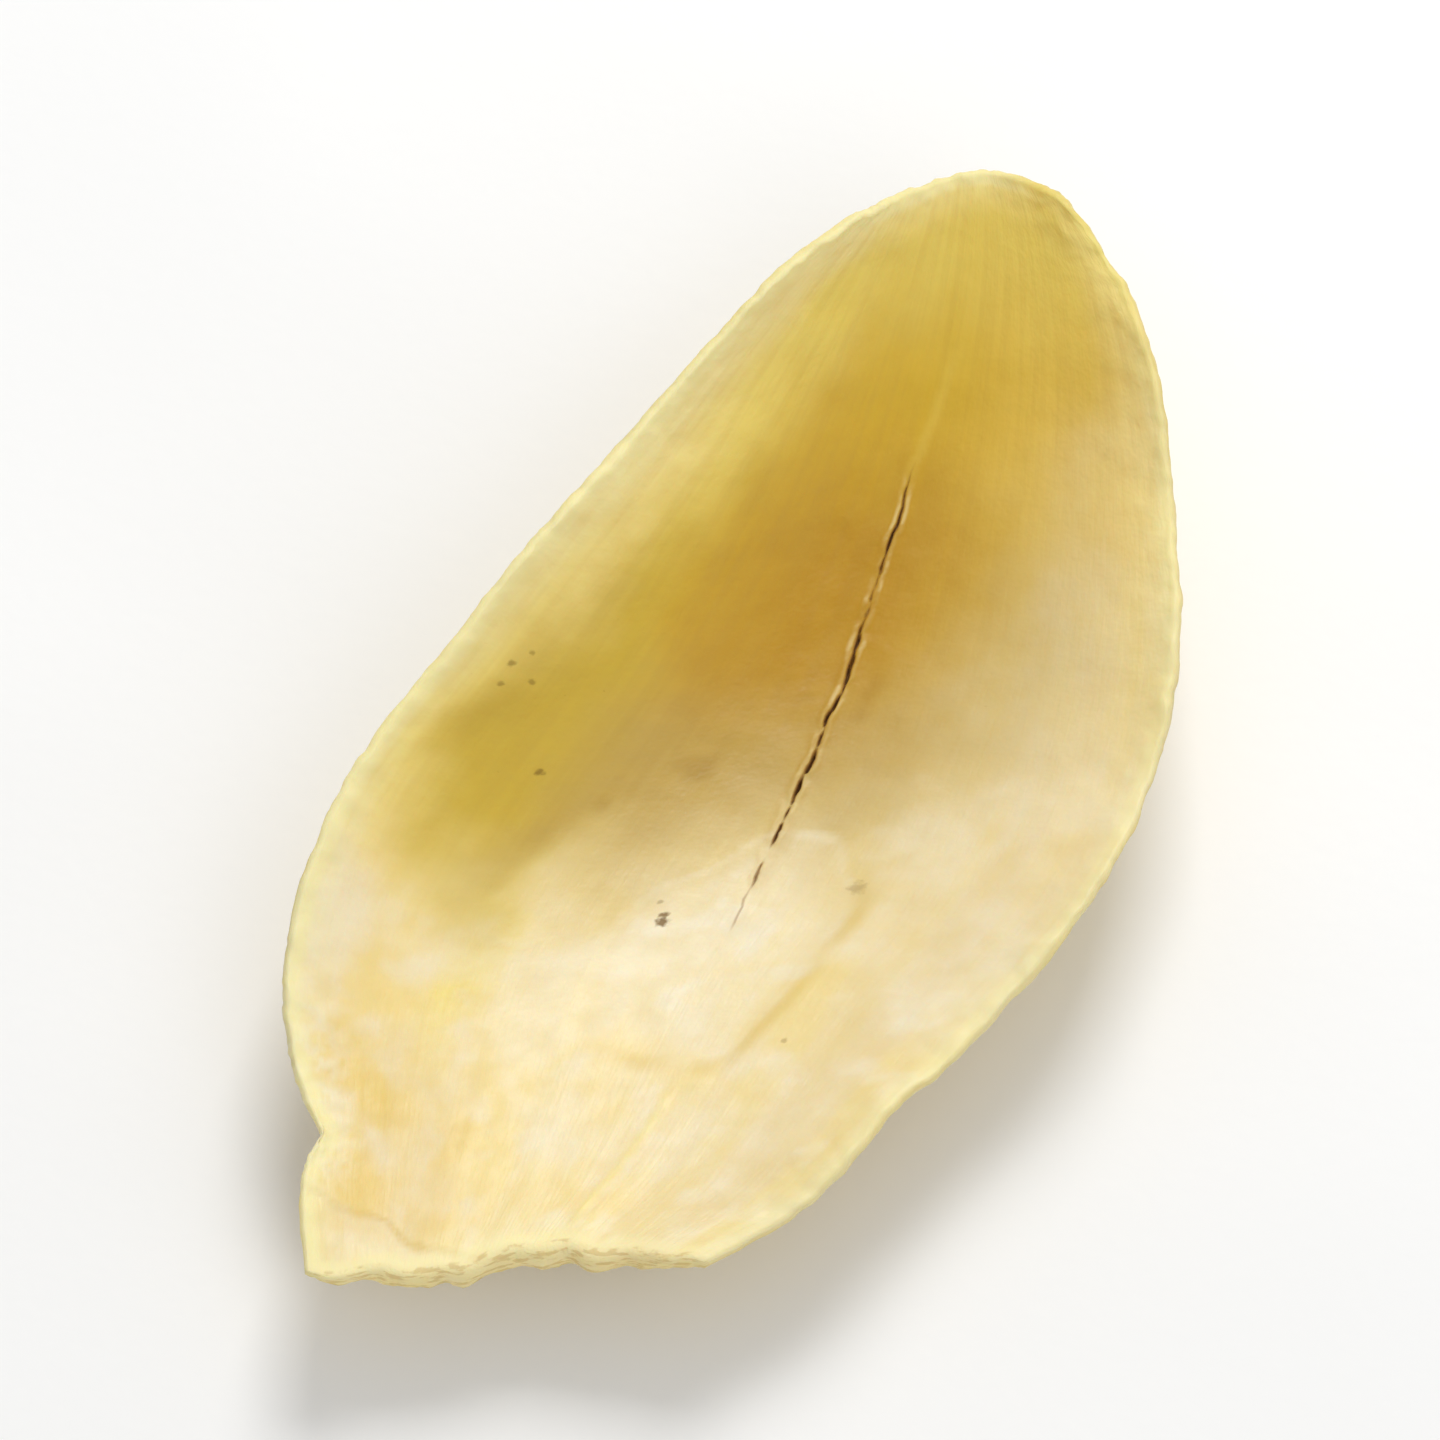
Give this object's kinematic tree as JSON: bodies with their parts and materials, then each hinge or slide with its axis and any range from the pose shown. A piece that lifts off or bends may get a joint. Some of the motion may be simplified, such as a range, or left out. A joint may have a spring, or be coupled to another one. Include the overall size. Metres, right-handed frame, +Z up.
{
  "type": "dried lily bulb slice",
  "caption": "Dried lily bulb slice: a cupped blade with thin wavy margins, a torn base edge, a split along the hollow's floor and a ribbed back.",
  "frame": {"origin": "centre of the bounding box at the level of the surface the slice lies on, under its belly", "axes": "+Y from the torn base to the tip, +X to the right as seen from above with the tip away, +Z up, out of the hollow"},
  "size_m": [0.0268, 0.0498, 0.0085],
  "materials": {
    "dried_flesh": "satin, horn-like, slightly translucent"
  },
  "bodies": {
    "root": {"lily_bulb_slice": "dried_flesh"}
  },
  "joints": []
}
